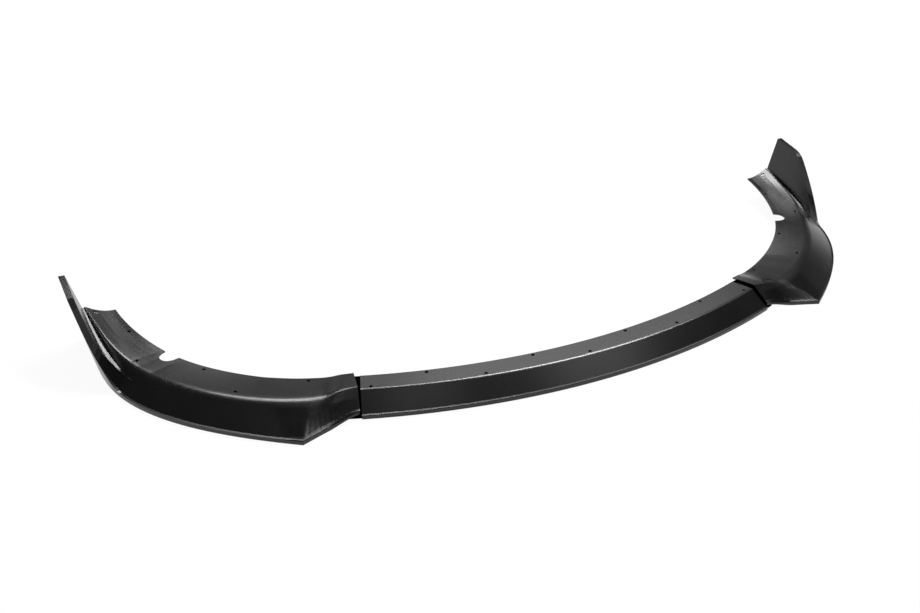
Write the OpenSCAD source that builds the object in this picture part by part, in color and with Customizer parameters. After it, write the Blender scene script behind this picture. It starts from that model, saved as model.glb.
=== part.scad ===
// Front splitter lip for a car bumper, a moulded shell in three pieces:
// a curved centre blade and two mirrored corner pieces, each with an upswept fin at its rear end.
// Frame in millimetres: X across the car, front towards -Y, Z up, lip standing on the plane Z = 0.

/* [Shell] */
// Thickness of the moulded wall
wall = 3; // [2:0.1:4]
// Height of the vertical rim under the ledge
rim_h = 8.3; // [6:0.1:14]
// Width of the ledge on top of the rim
ledge_w = 4.6; // [3:0.1:8]
// Height of the crest where the flange turns into the front face
crest_h = 36.3; // [30:0.1:48]
// Clearance between two pieces where one seats on the other
seat_gap = 0.3; // [0.2:0.05:1]

/* [Centre blade] */
// Plan radius of the blade's lower front edge
front_r = 1456; // [1250:1:1800]
// Angle from the middle of the blade to its end
blade_angle = 19; // [16:0.1:21]
// Horizontal run of the front face from the rim to the crest
blade_face = 44; // [34:0.5:60]
// Width of the blade's flange behind the crest
blade_flange = 50; // [40:0.5:64]
// How far the flange's rear edge lies below the crest
flange_drop = 2.8; // [0:0.1:8]
// Radius on the blade's crest
crest_r = 4; // [2:0.5:8]
// Length of the tongue that reaches under each corner piece
tongue_len = 24; // [12:1:30]
// How far the tongue steps down from the blade's surface
tongue_step = 0.5; // [0.3:0.1:1]

/* [Holes] */
// Diameter of the round fixing holes
hole_d = 6; // [4:0.1:8]
// Angle between two holes of one row on the blade
hole_pitch = 9; // [7:0.1:9.2]
// Distance from the crest back to the front row of holes
front_row = 8.5; // [7:0.5:16]
// Distance from the flange's rear edge to the rear row of holes
rear_row = 7.5; // [5:0.5:14]
// Distance from the corner's inner edge to the holes beside it
edge_row = 10; // [7:0.5:14]
// Distance from the corner's crest back to the holes beside it
crest_row = 18; // [12:0.5:24]
// Length of the oblong hole beside the fin
oblong_len = 12; // [9:0.5:18]

/* [Corner plan] */
// Distance across the car from the seam to the rim's rear end
corner_w = 428; // [380:1:480]
// Distance along the car from the seam to the rear end
corner_d = 466; // [420:1:520]
// Distance across the car from the seam to the fold on the crest
fold_x = 86; // [70:1:110]
// Distance across the car from the seam to the foot of the fold on the rim
foot_x = 130; // [110:1:150]
// How far the foot of the fold stands ahead of the crest at the seam
foot_y = 71; // [55:1:80]
// Distance along the car from the seam to the fin's root
root_y = 234; // [200:1:260]
// How far inside its rear end the rim runs at the fin's root
root_in = 23; // [12:1:36]
// How far the crest at the fold lies behind the crest at the seam
fold_back = 9; // [2:0.5:20]
// Width of the corner's flange at the fold
fold_flange = 82.5; // [65:0.5:95]
// Width of the corner's flange at the fin's root
root_flange = 76; // [60:0.5:90]
// Width of the corner's flange at the rear end
rear_flange = 58; // [45:1:75]
// Horizontal run of the corner's face at the fin's root
root_face = 45; // [38:1:64]

/* [Corner heights] */
// Height of the flange's inner edge at the fold
fold_edge_h = 24.5; // [20:0.5:32]
// Height of the flange's inner edge at the fin's root
root_edge_h = 36.5; // [28:0.5:42]
// Height of the flange's inner edge at the rear end
rear_edge_h = 52.5; // [42:0.5:62]
// Height of the crest at the fin's root
root_crest_h = 40.8; // [36:0.2:50]
// Height of the crest at the rear end
rear_crest_h = 73; // [62:0.5:85]
// Radius that softens the corner's crest
corner_crest_r = 11; // [6:1:20]
// How deep the flange sags between its inner edge and the crest beside the fin
rear_sag = 5.5; // [1:0.5:9]
// Extra rise of the crest where the corner laps over the tongue
lap_rise = 3.7; // [1:0.1:6]

/* [Fin] */
// Height of the fin's rear tip
fin_tip_h = 152; // [120:1:180]
// Height of the bend between the fin's front edge and its top edge
fin_bend_h = 140; // [110:1:160]
// Length of the fin's top edge
fin_top_len = 82; // [60:1:110]
// How far the fin's rear tip leans out beyond the rim
fin_lean = 29; // [5:1:35]
// Thickness of the fin at its top edge
fin_t = 12.5; // [9:0.5:16]

/* [Notch] */
// Width of the notch's mouth in the inner edge
notch_w = 35; // [28:1:46]
// Depth of the notch
notch_d = 25; // [20:1:34]
// How far the notch's front side flares at the mouth
notch_flare = 3; // [1:0.5:14]

/* [Hidden] */

plastic = [0.09, 0.09, 0.1];

// Plan centre of the blade's arcs, with the seam's crest point at Y = 0 before the shift to the middle
crest_rad = front_r - blade_face;
rear_rad = crest_rad - blade_flange;
arc_y = crest_rad * cos(blade_angle);
seam_x = crest_rad * sin(blade_angle);

// The finished part is centred along the car between its foremost edge and its rear end
front_y = min(arc_y - front_r, -foot_y);
shift_y = -(front_y + corner_d) / 2;

rear_edge_z = crest_h - flange_drop;
lap_z = wall + seat_gap;

// Stretches of the corner's loft as [from, to, steps], finest where the fin grows out of the face
STRETCHES = [[0, 1, 10], [1, 1.88, 22], [1.88, 2.16, 14], [2.16, 3, 18]];
ARC_STEPS = 8;
HOLE_FN = 48;
BLADE_FN = 360;

function polar(r, a) = [r * sin(a), arc_y - r * cos(a)];
function unit(v) = v / norm(v);
function heading(a) = [cos(a), sin(a)];
function flat(p) = [p[0], p[1]];
function mix(a, b, s) = a * (1 - s) + b * s;
function smooth(s) = let (c = max(0, min(1, s))) c * c * (3 - 2 * c);
function bezier3(a, b, c, s) = a * pow(1 - s, 2) + b * 2 * s * (1 - s) + c * s * s;
function bezier4(a, b, c, d, s) =
    a * pow(1 - s, 3) + b * 3 * s * pow(1 - s, 2) + c * 3 * s * s * (1 - s) + d * pow(s, 3);

// A plan curve that leaves p0 at heading h0 and reaches p1 at heading h1
function sweep_curve(p0, h0, p1, h1, s) =
    let (reach = norm(p1 - p0) / 3)
    bezier4(p0, p0 + reach * heading(h0), p1 - reach * heading(h1), p1, s);

// Knots of a guide are [point, heading in, heading out]; t runs from 0 at the seam to 3 at the rear
function guide(knots, t) =
    let (i = min(len(knots) - 2, floor(t)))
    sweep_curve(knots[i][0], knots[i][2], knots[i + 1][0], knots[i + 1][1], t - i);

// Angles that the corner's end stands beyond the blade's end, at its inner edge and at its rim
SEAM_SKEW = [0.3, -0.1];
// Angles by which the line across the flange turns rearwards, at the fold and at the fin's root
FOLD_TILT = 59.5;
ROOT_TILT = 18.5;
// How far inside the rim the crest ends at the rear
REAR_CREST_IN = 8;

// Plan positions of the corner's knots, all placed from the seam
seam_crest = [seam_x, 0];
seam_edge = polar(rear_rad - lap_z * 2, blade_angle + SEAM_SKEW[0]);
seam_rim = polar(front_r - ledge_w, blade_angle + SEAM_SKEW[1]);
fold_crest = seam_crest + [fold_x, fold_back];
fold_edge = fold_crest + fold_flange * [-cos(FOLD_TILT), sin(FOLD_TILT)];
foot = seam_crest + [foot_x, -foot_y];
rear_rim = seam_crest + [corner_w, corner_d];
root_rim = [rear_rim[0] - root_in, root_y];
root_crest = root_rim + root_face * [-cos(ROOT_TILT), sin(ROOT_TILT)];
root_edge = root_crest + root_flange * [-cos(ROOT_TILT), sin(ROOT_TILT)];
rear_crest = rear_rim - [REAR_CREST_IN, 0];
rear_edge = rear_crest - [rear_flange, 0];

// Headings are in degrees from +X. Only the rim has a kink, at the foot of the fold.
NOTCH_HEADING = 58.5;
EDGE_GUIDE = [[seam_edge, 22, 22], [fold_edge, 24, 24], [root_edge, NOTCH_HEADING, NOTCH_HEADING],
              [rear_edge, 81, 81]];
CREST_GUIDE = [[seam_crest, 5, 5], [fold_crest, 17, 17], [root_crest, 59, 59], [rear_crest, 82, 82]];
RIM_GUIDE = [[seam_rim, -3, -3], [foot, -20, 34], [root_rim, 72, 72], [rear_rim, 88, 88]];

// The corner's end is raised over the tongue and settles to its own level before the fold. The lap starts
// to fade at the first station and takes the second length to go, the rim's is gone at its own station.
LAP_FADE = [0.32, 0.5];
RIM_FADE = 0.55;
function lap(t) = 1 - smooth((t - LAP_FADE[0]) / LAP_FADE[1]);

// Stations between which the inner edge and the crest keep one height or change it, and how far above its
// lowest level the inner edge still is where it passes the fold
EDGE_LEVEL = [1.15, 1.35];
CREST_DIP = [1.9, 2.1];
EDGE_CARRY = 2;

function edge_pt(t) =
    let (p = guide(EDGE_GUIDE, t),
         z = lookup(t, [[0, rear_edge_z], [1, fold_edge_h + EDGE_CARRY], [EDGE_LEVEL[0], fold_edge_h],
                        [EDGE_LEVEL[1], fold_edge_h], [2, root_edge_h], [3, rear_edge_h]]))
    [p[0], p[1], z + (lap_z - tongue_step) * lap(t)];

function crest_pt(t) =
    let (p = guide(CREST_GUIDE, t),
         z = lookup(t, [[0, crest_h], [CREST_DIP[0], crest_h], [CREST_DIP[1], root_crest_h],
                        [3, rear_crest_h]]))
    [p[0], p[1], z + (lap_z + lap_rise) * lap(t)];

function rim_pt(t) =
    let (p = guide(RIM_GUIDE, t))
    [p[0], p[1], (rim_h + 2 * seat_gap) * (1 - smooth(t / RIM_FADE))];

// Direction in plan from the rim towards the inner edge
function inward(t) = unit(flat(edge_pt(t)) - flat(rim_pt(t)));

// The fin's front edge sweeps up from the rim, climbs straight to the bend and runs on to the rear tip
bend_y = corner_d - fin_top_len;
// Shares of that climb that soften its lower and upper corner, and the station before which there is no fin
ROOT_SOFT = 0.12;
BEND_SOFT = 0.12;
NO_FIN = 1.5;
function fin_run(t) = (rim_pt(t)[1] - root_y) / (bend_y - root_y);
function edge_line(run) = run <= 0 ? rim_h
    : run <= 1 ? mix(rim_h, fin_bend_h, run)
    : mix(fin_bend_h, fin_tip_h, (run - 1) * (bend_y - root_y) / fin_top_len);
function soft_corner(run, at, soft) =
    bezier3(edge_line(at - soft), edge_line(at), edge_line(at + soft), (run - at + soft) / (2 * soft));
function fin_height(t) =
    let (run = fin_run(t))
    t < NO_FIN ? rim_h
    : abs(run) < ROOT_SOFT ? soft_corner(run, 0, ROOT_SOFT)
    : abs(run - 1) < BEND_SOFT ? soft_corner(run, 1, BEND_SOFT)
    : edge_line(run);

// The outer skin leans out in proportion to its height above the rim's foot, at the bend by this share
// of the lean at the rear tip
BEND_LEAN = 0.86;
function fin_out(t) = fin_lean * lookup(fin_run(t), [[0, 0], [1, BEND_LEAN], [fin_run(3), 1]]);
function skin_pt(t, h) =
    let (p = rim_pt(t), q = flat(p) - inward(t) * fin_out(t) * h / fin_height(t))
    [q[0], q[1], p[2] + h];

function drop(p, d) = [p[0], p[1], p[2] - d];
function shift(p, d) = [p[0] + d[0], p[1] + d[1], p[2]];

// The ledge narrows beside the fin, to this share of the thickness at the top edge
FIN_ROUND = 0.12;
function ledge_pt(t) =
    shift(skin_pt(t, fin_height(t)), inward(t) * mix(ledge_w, FIN_ROUND * fin_t, smooth(5 * (t - 2))));

// A point on the straight face between the crest and the ledge as it is without the fin
function plain_ledge(t) = let (p = rim_pt(t)) shift([p[0], p[1], p[2] + rim_h], inward(t) * ledge_w);
function face_pt(t, s) = mix(crest_pt(t), plain_ledge(t), s);

// The valley splits the face at these shares of the way from the crest to the ledge
VALLEY_AT = 0.4;
FLOOR_AT = 0.43;
STRIP_AT = 0.46;

// The valley's inner foot keeps to the face up to the fin's root, then closes in on the crest. It ends
// this far beside and below the crest, and reaches that depth late, by this power of the way.
VALLEY_END = [2.5, 2];
VALLEY_POWER = 1.3;
// Width of the valley's floor over the way from the fin's root to the rear end, and how far the floor rises
FLOOR_W = [[0, 0], [0.3, 7], [1, 2.5]];
FLOOR_RISE = 0.5;
function valley_pt(t) =
    let (s = max(0, t - 2), c = crest_pt(t), p = face_pt(t, VALLEY_AT),
         away = mix(VALLEY_END[0], norm(flat(p) - flat(c)), pow(1 - s, 2)),
         depth = mix(c[2] - p[2], VALLEY_END[1], pow(s, VALLEY_POWER)))
    s <= 0 ? p : drop(shift(c, -inward(t) * away), depth);
function floor_pt(t) =
    let (s = max(0, t - 2), v = valley_pt(t), f = face_pt(t, FLOOR_AT), p = face_pt(t, VALLEY_AT),
         w = norm(flat(f) - flat(p)) * (1 - s) + lookup(s, FLOOR_W))
    drop(shift(v, -inward(t) * w), mix(p[2] - f[2], -FLOOR_RISE, smooth(4 * s)));

// Width of the fin's front edge, from the whole outer part of the face at the root to the top thickness,
// which it nears early, by this power of the way left
STRIP_POWER = 2.2;
function strip_w(t) =
    let (way_left = 1 - max(0, min(1, fin_run(t))))
    mix(fin_t, norm(flat(face_pt(t, STRIP_AT)) - flat(rim_pt(t))), pow(way_left, STRIP_POWER));
function strip_pt(t) =
    let (top = skin_pt(t, fin_height(t)), p = face_pt(t, STRIP_AT), run = max(0, fin_run(t)),
         q = shift(top, inward(t) * strip_w(t)))
    fin_run(t) <= 0 ? [p[0], p[1], p[2] + fin_height(t) - rim_h]
    : [q[0], q[1], top[2] + (p[2] - rim_h) * (1 - smooth(2 * run))];

// One closed section of the corner, as the outer skin and then the inner skin with as many points:
// flange, soft crest, face, valley, fin and rim
FLANGE_STEPS = 5;
CREST_STEPS = 6;
SKIN_STEPS = 3;
// Most of the flange and of the face beside the crest that its rounding takes up
CREST_SHARE = [0.333, 0.625];
// Share of the rounding that the crest loses beside the fin
CREST_LOSS = 0.5;
// Upright depth of the wall under the sloped faces
fw = 1.1 * wall;
// Share of the way from the fin's inner corner to its foot at which the inner skin bends
CAVE_BEND = 0.3;
function section(t) =
    let (e = edge_pt(t), c = crest_pt(t), v = valley_pt(t), f = floor_pt(t), k = strip_pt(t),
         l = ledge_pt(t), h = fin_height(t), top = skin_pt(t, h), r = rim_pt(t), n = inward(t),
         round_r = corner_crest_r * smooth(0.2 + t) * (1 - CREST_LOSS * smooth(t - 1.9)),
         soft = min(round_r, norm(c - e) * CREST_SHARE[0], norm(c - v) * CREST_SHARE[1]),
         c0 = c + soft * unit(e - c), c1 = c + soft * unit(v - c),
         sag = 4 * rear_sag * smooth(t - 1.8),
         flange = [for (i = [0 : FLANGE_STEPS - 1]) let (s = i / FLANGE_STEPS)
             drop(mix(e, c0, s), sag * s * (1 - s))],
         crest = [for (i = [0 : CREST_STEPS]) bezier3(c0, c, c1, i / CREST_STEPS)],
         // Half the angle by which the valley's outer side rises
         half = max(0, atan2(k[2] - f[2], max(0.1, norm(flat(k) - flat(f))))) / 2,
         thin = min(wall, strip_w(t) / 3),
         side = -n * thin * tan(half),
         at_fin = smooth(5 * fin_run(t)),
         cave_h = mix(h - fw - 1, h - thin, at_fin),
         cave = shift(skin_pt(t, cave_h), n * thin),
         under_k = mix(drop(k, fw), drop(shift(k, side), thin), at_fin))
    concat(
        flange, crest, [mix(c1, v, 0.5), v, f, mix(f, k, 0.5), k, l, top],
        [for (i = [1 : SKIN_STEPS - 1]) skin_pt(t, h * (1 - i / SKIN_STEPS))], [r],
        [[r[0] + n[0] * thin, r[1] + n[1] * thin, r[2]]],
        [for (i = [SKIN_STEPS - 1 : -1 : 1])
            shift(skin_pt(t, cave_h * (1 - i / SKIN_STEPS)), n * thin)],
        [cave, mix(drop(shift(l, n), fw), mix(cave, under_k, CAVE_BEND), at_fin), under_k,
         mix(drop(shift(f, side), fw), under_k, 0.5), drop(shift(f, side), fw), drop(v, fw),
         drop(mix(c1, v, 0.5), fw)],
        [for (i = [CREST_STEPS : -1 : 0]) drop(crest[i], mix(wall, fw, i / CREST_STEPS))],
        [for (i = [FLANGE_STEPS - 1 : -1 : 0]) drop(flange[i], wall)]
    );

STATIONS = concat([for (r = STRETCHES) each [for (i = [0 : r[2] - 1]) mix(r[0], r[1], i / r[2])]], [3]);

// Closed skin through a list of rings with the same number of points. Each end is a strip of triangles
// between the ring's first half and its second half, which runs back inside the first.
module loft(rings) {
    m = len(rings[0]);
    n = len(rings);
    last = (n - 1) * m;
    sides = [for (i = [0 : n - 2], j = [0 : m - 1]) let (k = (j + 1) % m)
        each [[i * m + k, i * m + j, (i + 1) * m + j], [(i + 1) * m + k, i * m + k, (i + 1) * m + j]]];
    start = [for (j = [0 : m / 2 - 2]) each [[j, j + 1, m - 1 - j], [j + 1, m - 2 - j, m - 1 - j]]];
    end = [for (j = [0 : m / 2 - 2])
        let (k = last + m - 1 - j)
        each [[last + j + 1, last + j, k], [k - 1, last + j + 1, k]]];
    polyhedron([for (ring = rings) each ring], concat(sides, start, end), convexity = 10);
}

// A point on the corner's flange at station t, a given distance behind the crest or inside the edge
function behind_crest(t, d) = let (c = flat(crest_pt(t)), e = flat(edge_pt(t))) c + d * unit(e - c);
function inside_edge(t, d) = let (c = flat(crest_pt(t)), e = flat(edge_pt(t))) e + d * unit(c - e);

// Cutters start this far below the lip
CUT_BELOW = 1;
module drill(p) {
    translate([p[0], p[1], -CUT_BELOW]) cylinder(d = hole_d, h = fin_tip_h, $fn = HOLE_FN);
}

module oblong(p) {
    span = oblong_len - hole_d;
    translate([p[0], p[1], -CUT_BELOW]) linear_extrude(fin_tip_h) {
        square([span, hole_d], center = true);
        for (side = [-1, 1]) translate([side * span / 2, 0]) circle(d = hole_d, $fn = HOLE_FN);
    }
}

// Cutter for the round notch, in its own frame with the mouth along X and the pocket towards -Y
module notch_cutter() {
    linear_extrude(fin_tip_h) {
        translate([-notch_w / 2, notch_w / 2 - notch_d]) square([notch_w, notch_d]);
        translate([0, notch_w / 2 - notch_d]) circle(d = notch_w, $fn = HOLE_FN);
        polygon([[0, -notch_d / 2], [-notch_w / 2, -notch_d / 2], [-notch_w / 2 - notch_flare, 0],
                 [-notch_w / 2 - notch_flare, notch_d], [0, notch_d]]);
    }
}

// Stations of the corner's holes and of the notch
EDGE_HOLES = [1.07, 1.71, 2.57];
CREST_HOLES = [1.41, 2.08];
OBLONG_T = 2.95;
NOTCH_T = 1.99;
module corner() {
    mouth = edge_pt(NOTCH_T);
    difference() {
        loft([for (t = STATIONS) section(t)]);
        for (t = EDGE_HOLES) drill(inside_edge(t, edge_row));
        for (t = CREST_HOLES) drill(behind_crest(t, crest_row));
        oblong(behind_crest(OBLONG_T, crest_row));
        translate([mouth[0], mouth[1], -CUT_BELOW]) rotate(NOTCH_HEADING) notch_cutter();
    }
}

// Section of the centre blade in plan radius and height, from the rear edge over the crest to the rim
function blade_top() =
    let (rear = [rear_rad, rear_edge_z], crest = [crest_rad, crest_h],
         foot_in = [front_r - ledge_w, rim_h],
         c0 = crest + crest_r * unit(rear - crest), c1 = crest + crest_r * unit(foot_in - crest))
    concat([rear], [for (i = [0 : ARC_STEPS]) bezier3(c0, crest, c1, i / ARC_STEPS)], [foot_in]);

// The blade's full section stops this angle short of the seam, and its tongues start as far inside it
END_BACK = 0.2;
// Chamfer between the blade's ledge and its rim
RIM_CHAMFER = 0.6;
end_gap = seat_gap / front_r * 180 / PI;
tongue_angle = tongue_len / front_r * 180 / PI;
face_slope = (crest_h - rim_h) / (blade_face - ledge_w);
face_drop = wall * sqrt(1 + face_slope * face_slope);

module blade_profile() {
    polygon(concat(blade_top(),
        [[front_r - RIM_CHAMFER, rim_h], [front_r, rim_h - RIM_CHAMFER], [front_r, 0], [front_r - wall, 0],
         [front_r - wall, rim_h - wall], [front_r - ledge_w, rim_h - face_drop],
         [crest_rad - wall / 2, crest_h - face_drop + wall / 2 * face_slope],
         [crest_rad - wall * 1.5, crest_h - wall],
         [rear_rad, rear_edge_z - wall]]));
}

// A solid ring sector around the arcs' centre, from one angle on, used to sweep and to cut
module arc_sweep(from, span) {
    translate([0, arc_y, 0]) rotate(-90 + from) rotate_extrude(angle = span, $fn = BLADE_FN) children();
}

// The joggled section that goes on under the corner piece, set in by the corner's wall and its clearance
module tongue_profile() {
    intersection() {
        translate([-lap_z, -tongue_step]) blade_profile();
        translate([rear_rad + tongue_step, 0]) square([blade_flange + blade_face, crest_h]);
    }
}

module blade_hole(r, a) {
    drill(polar(r, a));
}

module centre_piece() {
    end = blade_angle - END_BACK - end_gap;
    difference() {
        union() {
            arc_sweep(-end, 2 * end) blade_profile();
            arc_sweep(end - END_BACK, tongue_angle + END_BACK) tongue_profile();
            arc_sweep(-end - tongue_angle, tongue_angle + END_BACK) tongue_profile();
        }
        for (i = [-2 : 2]) blade_hole(crest_rad - front_row, i * hole_pitch);
        for (i = [-1.5 : 1 : 1.5]) blade_hole(rear_rad + rear_row, i * hole_pitch);
    }
}

module centre_blade() {
    color(plastic) translate([0, shift_y, 0]) centre_piece();
}

module corner_right() {
    color(plastic) translate([0, shift_y, 0]) corner();
}

module corner_left() {
    color(plastic) mirror([1, 0, 0]) translate([0, shift_y, 0]) corner();
}

centre_blade();
corner_left();
corner_right();
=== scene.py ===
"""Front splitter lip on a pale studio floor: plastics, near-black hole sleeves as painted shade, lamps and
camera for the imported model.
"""

import math

import bmesh
import bpy
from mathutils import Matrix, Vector


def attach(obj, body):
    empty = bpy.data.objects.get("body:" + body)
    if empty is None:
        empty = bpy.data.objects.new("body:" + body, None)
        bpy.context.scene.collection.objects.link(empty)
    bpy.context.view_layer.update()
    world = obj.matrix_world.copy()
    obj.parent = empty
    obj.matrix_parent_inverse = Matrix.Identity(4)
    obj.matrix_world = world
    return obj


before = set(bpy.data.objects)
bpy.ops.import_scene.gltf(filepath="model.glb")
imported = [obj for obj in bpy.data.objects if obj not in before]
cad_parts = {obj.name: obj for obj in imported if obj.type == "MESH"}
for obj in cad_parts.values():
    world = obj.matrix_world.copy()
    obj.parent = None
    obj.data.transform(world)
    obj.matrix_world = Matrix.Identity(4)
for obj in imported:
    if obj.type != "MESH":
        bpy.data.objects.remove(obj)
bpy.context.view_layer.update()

# The camera of the photograph, in metres and degrees in the frame of the part
CAMERA_AT = (-0.9339, -1.6257, 1.0898)
CAMERA_HEADING = 25.18
CAMERA_PITCH = -30.0
CAMERA_LENS = 38.9
SENSOR_WIDTH = 36.0

# The floor is a wide disc with a low wall round it, so that the studio is as pale from every side. The camera
# and the glossy rays see this share of it as plain white.
FLOOR_RADIUS = 9.0
WALL_HEIGHT = 1.6
WALL_SIDES = 48
PALE = (0.95, 0.95, 0.95)
WHITE_SHARE = 0.95

# The lamps stand on a dome round the lip, by elevation and by azimuth from the rear towards +X, in degrees,
# with their width and height in metres and their radiance
DOME_RADIUS = 4.5
LAMPS = [
    ("strip_left", 49, 5, (1.7, 0.5), 27.0),
    ("strip_right", 58, 54, (2.7, 0.6), 52.0),
    ("softbox_behind", 31, 32, (2.1, 0.8), 2.3),
    ("softbox_left", 31, 8, (0.8, 0.5), 1.5),
    ("overhead", 74, 185, (1.0, 1.2), 1.0),
    ("side_right", 57, 120, (1.3, 1.2), 1.9),
]
WORLD_STRENGTH = 0.08

# The plastics: linear colours, the roughness between which their sheen varies, and how strong the sheen is
BLACK_PLASTIC = (0.0035, 0.0035, 0.0038)
SATIN_ROUGHNESS = (0.24, 0.28)
SATIN_SHEEN = 0.5
# The sleeves' near-black, dull colour is painted shade in the holes, standing in for the shade on the floor
# under the lip
SLEEVE_SHADE = (0.002, 0.002, 0.002)
SLEEVE_ROUGHNESS = (0.5, 0.6)
SLEEVE_SHEEN = 0.05
# Near-black, dull colour of the blade's tongues: painted shade in the gap of the lap joint under each corner
# piece
TONGUE_SHADE = (0.0008, 0.0008, 0.0008)
PLASTIC_IOR = 1.5

# Mottling of sheen and colour: scale and detail of the noise, the part of its range that is used, and the
# factors on the colour at the ends of that range
SHEEN_NOISE = (12.0, 4.0)
TINT_NOISE = (26.0, 3.0)
NOISE_ROUGHNESS = 0.6
NOISE_RANGE = (0.3, 0.7)
TINT_FACTORS = (0.8, 1.25)

# Fine moulded grain, with its depth in metres
GRAIN_NOISE = (700.0, 2.0)
GRAIN_STRENGTH = 0.004
GRAIN_DEPTH = 0.0004

# The plan centre of the blade's arcs, which is the source's arc_y moved by its shift_y, and the angle at which
# the blade's shoulder ends, beyond which only its tongue goes on under the corner piece, in metres and degrees
SOURCE_ARC_Y = 1.33507
SOURCE_SHIFT_Y = -0.172536
ARC_Y = SOURCE_ARC_Y + SOURCE_SHIFT_Y
SHOULDER_ANGLE = 18.79

# Box in metres, mirrored across the lip, round the corner's fold, where edges are blended over a wide radius
# and the sheen is weaker, and how far both reach beyond the box in x, y and z
FOLD_BOX = ((0.49, 0.60), (-0.30, -0.14), (0.010, 0.029))
FOLD_FADE = (0.03, 0.03, 0.004)
FOLD_RADIUS = 0.01
FOLD_SHEEN_LOSS = 0.32
BEVEL_SAMPLES = 8

# A short near-black sleeve with a thin collar lines each drilled hole as painted shade in and round it, in
# metres
COLLAR_R = 0.0038
COLLAR_H = 0.00025
HOLE_R = 0.003
SLEEVE_WALL = 0.0004
SLEEVE_LENGTH = 0.0085
SLEEVE_SIDES = 24

# Plan places of the holes: rows in the blade by their arc's radius and their angles in degrees, and places in
# the right corner piece, which the left one mirrors
BLADE_ROWS = [(1.4035, (-18, -9, 0, 9, 18)), (1.3695, (-13.5, -4.5, 4.5, 13.5))]
CORNER_HOLES = [(0.5292, -0.0917), (0.7015, 0.02403), (0.81004, 0.20533), (0.66564, -0.07876),
                (0.81357, 0.09683)]

# The flange's slope at a hole is felt by rays that start well above it, this far from the hole's axis
PROBE_REACH = 0.0055
PROBE_HEIGHT = 0.2


def new_material(name):
    """A material with nodes and nothing in its tree, as (material, nodes, links)."""
    material = bpy.data.materials.new(name)
    material.use_nodes = True
    tree = material.node_tree
    tree.nodes.clear()
    return material, tree.nodes, tree.links


def node(nodes, kind, **inputs):
    """Adds a shader node and sets the sockets that are given by name."""
    made = nodes.new(kind)
    for key, value in inputs.items():
        made.inputs[key.replace("_", " ")].default_value = value
    return made


def maths(nodes, links, operation, *values):
    """The output of a maths node whose inputs are numbers or sockets."""
    made = nodes.new("ShaderNodeMath")
    made.operation = operation
    for socket, value in zip(made.inputs, values):
        if isinstance(value, bpy.types.NodeSocket):
            links.new(value, socket)
        else:
            socket.default_value = value
    return made.outputs["Value"]


def ranged(nodes, links, value, low, high, onto=(0.0, 1.0), kind="LINEAR"):
    """The output of a node that maps a value's span from low to high onto another span."""
    spread = nodes.new("ShaderNodeMapRange")
    spread.interpolation_type = kind
    for key, limit in zip(("From Min", "From Max", "To Min", "To Max"), (low, high, *onto)):
        spread.inputs[key].default_value = limit
    links.new(value, spread.inputs["Value"])
    return spread.outputs["Result"]


def soft_noise(nodes, links, places, scale, detail):
    """Soft noise over the surface."""
    noise = node(nodes, "ShaderNodeTexNoise", Scale=scale, Detail=detail, Roughness=NOISE_ROUGHNESS)
    links.new(places, noise.inputs["Vector"])
    return noise.outputs["Fac"]


def mirrored_place(nodes, links, places):
    """Distance from the lip's middle plane, y and z."""
    place = nodes.new("ShaderNodeSeparateXYZ")
    links.new(places, place.inputs["Vector"])
    return maths(nodes, links, "ABSOLUTE", place.outputs["X"]), place.outputs["Y"], place.outputs["Z"]


def beyond_shoulder(nodes, links, places):
    """1 on the blade's tongues, 0 on the rest of the blade, from the angle round the arcs' centre."""
    across, y, _ = mirrored_place(nodes, links, places)
    angle = maths(nodes, links, "ARCTAN2", across, maths(nodes, links, "SUBTRACT", ARC_Y, y))
    return maths(nodes, links, "GREATER_THAN", angle, math.radians(SHOULDER_ANGLE))


def on_fold(nodes, links, places):
    """1 on the corner's fold, where the moulding is softest, fading to 0 round it."""
    mask = 1.0
    for value, (low, high), fade in zip(mirrored_place(nodes, links, places), FOLD_BOX, FOLD_FADE):
        for outer, inner in ((low - fade, low), (high + fade, high)):
            edge = ranged(nodes, links, value, outer, inner, kind="SMOOTHSTEP")
            mask = maths(nodes, links, "MULTIPLY", mask, edge)
    return mask


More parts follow.
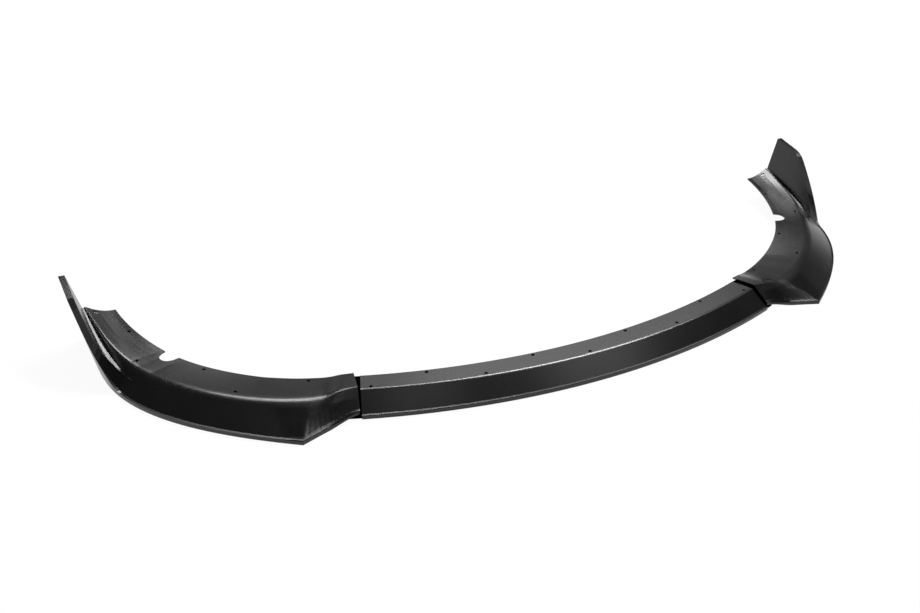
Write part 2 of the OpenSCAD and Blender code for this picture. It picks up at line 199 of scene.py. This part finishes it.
def moulded_plastic(name, colour, roughness, sheen, fold=False, seam=False):
    """Moulded plastic with a faint mottled sheen and a fine grain. A fold's edges are blended and its sheen is
    weaker. A seam's tongues are dull and darker, as painted shade in the lap joint's gap under each corner
    piece."""
    material, nodes, links = new_material(name)
    out = nodes.new("ShaderNodeOutputMaterial")
    shader = node(nodes, "ShaderNodeBsdfPrincipled", IOR=PLASTIC_IOR, Specular_IOR_Level=sheen)
    places = nodes.new("ShaderNodeTexCoord").outputs["Object"]

    rough = ranged(nodes, links, soft_noise(nodes, links, places, *SHEEN_NOISE), *NOISE_RANGE, onto=roughness)
    links.new(rough, shader.inputs["Roughness"])
    ramp = nodes.new("ShaderNodeValToRGB")
    for element, factor in zip(ramp.color_ramp.elements, TINT_FACTORS):
        element.color = (*[c * factor for c in colour], 1)
    links.new(soft_noise(nodes, links, places, *TINT_NOISE), ramp.inputs["Fac"])
    links.new(ramp.outputs["Color"], shader.inputs["Base Color"])

    scale, detail = GRAIN_NOISE
    grain = node(nodes, "ShaderNodeTexNoise", Scale=scale, Detail=detail)
    links.new(places, grain.inputs["Vector"])
    bump = node(nodes, "ShaderNodeBump", Strength=GRAIN_STRENGTH, Distance=GRAIN_DEPTH)
    links.new(grain.outputs["Fac"], bump.inputs["Height"])
    links.new(bump.outputs["Normal"], shader.inputs["Normal"])

    if fold:
        mask = on_fold(nodes, links, places)
        weaker = maths(nodes, links, "MULTIPLY_ADD", mask, -FOLD_SHEEN_LOSS, sheen)
        links.new(weaker, shader.inputs["Specular IOR Level"])
        blend = nodes.new("ShaderNodeBevel")
        blend.samples = BEVEL_SAMPLES
        links.new(maths(nodes, links, "MULTIPLY", mask, FOLD_RADIUS), blend.inputs["Radius"])
        links.new(blend.outputs["Normal"], bump.inputs["Normal"])

    surface = shader.outputs["BSDF"]
    # The tongues beyond each shoulder get a dull near-black colour: painted shade in the seam gap under the
    # corner pieces
    if seam:
        dull = node(nodes, "ShaderNodeBsdfDiffuse", Color=(*TONGUE_SHADE, 1))
        mix = nodes.new("ShaderNodeMixShader")
        links.new(beyond_shoulder(nodes, links, places), mix.inputs["Fac"])
        links.new(surface, mix.inputs[1])
        links.new(dull.outputs["BSDF"], mix.inputs[2])
        surface = mix.outputs["Shader"]
    links.new(surface, out.inputs["Surface"])
    return material


def studio_surface(name):
    """Pale matt surface that camera, glossy and transmission rays see mostly as plain white."""
    material, nodes, links = new_material(name)
    out = nodes.new("ShaderNodeOutputMaterial")
    matt = node(nodes, "ShaderNodeBsdfDiffuse", Color=(*PALE, 1))
    white = node(nodes, "ShaderNodeEmission", Color=(1, 1, 1, 1), Strength=1.0)
    path = nodes.new("ShaderNodeLightPath").outputs
    seen = maths(nodes, links, "MAXIMUM", path["Is Camera Ray"], path["Is Glossy Ray"])
    seen = maths(nodes, links, "MAXIMUM", seen, path["Is Transmission Ray"])
    mix = nodes.new("ShaderNodeMixShader")
    links.new(maths(nodes, links, "MULTIPLY", seen, WHITE_SHARE), mix.inputs["Fac"])
    links.new(matt.outputs["BSDF"], mix.inputs[1])
    links.new(white.outputs["Emission"], mix.inputs[2])
    links.new(mix.outputs["Shader"], out.inputs["Surface"])
    return material


def ring(radius, height, sides):
    """Points of a level circle."""
    turns = [2 * math.pi * i / sides for i in range(sides)]
    return [(radius * math.cos(turn), radius * math.sin(turn), height) for turn in turns]


def placed(name, mesh, material):
    """An object in the scene from a mesh and its material."""
    obj = bpy.data.objects.new(name, mesh)
    bpy.context.scene.collection.objects.link(obj)
    mesh.materials.append(material)
    return obj


def sheet(name, points, faces, material):
    """A stage surface from points and faces."""
    mesh = bpy.data.meshes.new(name)
    mesh.from_pydata(points, [], faces)
    obj = placed(name, mesh, material)


def build_stage():
    pale = studio_surface("pale_floor")
    foot = ring(FLOOR_RADIUS, 0, WALL_SIDES)
    top = ring(FLOOR_RADIUS, WALL_HEIGHT, WALL_SIDES)
    sheet("floor", foot, [tuple(range(WALL_SIDES))], pale)
    wall = [(i, (i + 1) % WALL_SIDES, (i + 1) % WALL_SIDES + WALL_SIDES, i + WALL_SIDES)
            for i in range(WALL_SIDES)]
    sheet("backdrop", foot + top, wall, pale)


def area_light(name, elevation, azimuth, size, radiance):
    """A soft rectangular lamp on the dome, turned towards the lip."""
    e, a = math.radians(elevation), math.radians(azimuth)
    at = Vector((math.cos(e) * math.sin(a), math.cos(e) * math.cos(a), math.sin(e))) * DOME_RADIUS
    data = bpy.data.lights.new(name, "AREA")
    data.shape = "RECTANGLE"
    data.size, data.size_y = size
    data.energy = radiance * math.pi * size[0] * size[1]
    lamp = bpy.data.objects.new(name, data)
    lamp.location = at
    lamp.rotation_euler = (-at).to_track_quat("-Z", "Y").to_euler()
    bpy.context.scene.collection.objects.link(lamp)


def build_lights():
    world = bpy.data.worlds.new("studio")
    world.use_nodes = True
    background = world.node_tree.nodes["Background"]
    background.inputs["Color"].default_value = (1, 1, 1, 1)
    background.inputs["Strength"].default_value = WORLD_STRENGTH
    bpy.context.scene.world = world
    for lamp in LAMPS:
        area_light(*lamp)


def build_camera():
    data = bpy.data.cameras.new("camera")
    data.lens = CAMERA_LENS
    data.sensor_width = SENSOR_WIDTH
    camera = bpy.data.objects.new("camera", data)
    camera.location = CAMERA_AT
    camera.rotation_euler = (math.radians(90 + CAMERA_PITCH), 0, math.radians(-CAMERA_HEADING))
    bpy.context.scene.collection.objects.link(camera)
    bpy.context.scene.camera = camera


def dress(name, material):
    """Gives a CAD node its material."""
    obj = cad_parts[name]
    obj.data.materials.clear()
    obj.data.materials.append(material)


def flange_plane(cad, x, y):
    """Centre and normal of the flange's upper side round a hole, from four rays just outside it."""
    back = cad.matrix_world.inverted()
    found = []
    for dx, dy in ((1, 0), (0, 1), (-1, 0), (0, -1)):
        above = back @ Vector((x + dx * PROBE_REACH, y + dy * PROBE_REACH, PROBE_HEIGHT))
        hit, at, _, _ = cad.ray_cast(above, back.to_3x3() @ Vector((0, 0, -1)))
        if not hit:
            raise RuntimeError(f"no flange beside the hole at {x}, {y}")
        found.append(cad.matrix_world @ at)
    normal = (found[2] - found[0]).cross(found[3] - found[1]).normalized()
    return sum(found, Vector()) / len(found), normal


def hole_sleeve(name, cad, x, y, material):
    """A short open tube inside a drilled hole, with a thin collar on the flange, both near-black as painted
    shade in and round the hole.
    """
    centre, normal = flange_plane(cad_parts[cad], x, y)
    turn = normal.to_track_quat("Z", "Y").to_matrix()
    bore = HOLE_R - SLEEVE_WALL
    profile = [(bore, COLLAR_H), (COLLAR_R, COLLAR_H), (COLLAR_R, -COLLAR_H), (HOLE_R, -COLLAR_H),
               (HOLE_R, -SLEEVE_LENGTH), (bore, -SLEEVE_LENGTH)]
    shape = bmesh.new()
    rings = [[shape.verts.new(centre + turn @ Vector(point)) for point in ring(radius, height, SLEEVE_SIDES)]
             for radius, height in profile]
    for a, b in zip(rings, rings[1:] + rings[:1]):
        for i in range(SLEEVE_SIDES):
            k = (i + 1) % SLEEVE_SIDES
            shape.faces.new((a[i], b[i], b[k], a[k]))
    bmesh.ops.recalc_face_normals(shape, faces=shape.faces)
    mesh = bpy.data.meshes.new(name)
    shape.to_mesh(mesh)
    shape.free()
    piece = placed(name, mesh, material)
    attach(piece, "root")


def build_sleeves(material):
    bpy.context.view_layer.update()
    for row, (radius, angles) in enumerate(BLADE_ROWS):
        for i, angle in enumerate(angles):
            a = math.radians(angle)
            hole_sleeve(f"blade_shade_sleeve_{row}_{i}", "centre_blade", radius * math.sin(a),
                        ARC_Y - radius * math.cos(a), material)
    for i, (x, y) in enumerate(CORNER_HOLES):
        hole_sleeve(f"right_shade_sleeve_{i}", "corner_right", x, y, material)
        hole_sleeve(f"left_shade_sleeve_{i}", "corner_left", -x, y, material)


build_camera()
build_stage()
build_lights()
blade_plastic = moulded_plastic("satin_blade", BLACK_PLASTIC, SATIN_ROUGHNESS, SATIN_SHEEN, seam=True)
corner_plastic = moulded_plastic("satin_corner", BLACK_PLASTIC, SATIN_ROUGHNESS, SATIN_SHEEN, fold=True)
dress("centre_blade", blade_plastic)
dress("corner_left", corner_plastic)
dress("corner_right", corner_plastic)
build_sleeves(moulded_plastic("shade_sleeve", SLEEVE_SHADE, SLEEVE_ROUGHNESS, SLEEVE_SHEEN))
bpy.context.scene.view_settings.view_transform = "Standard"
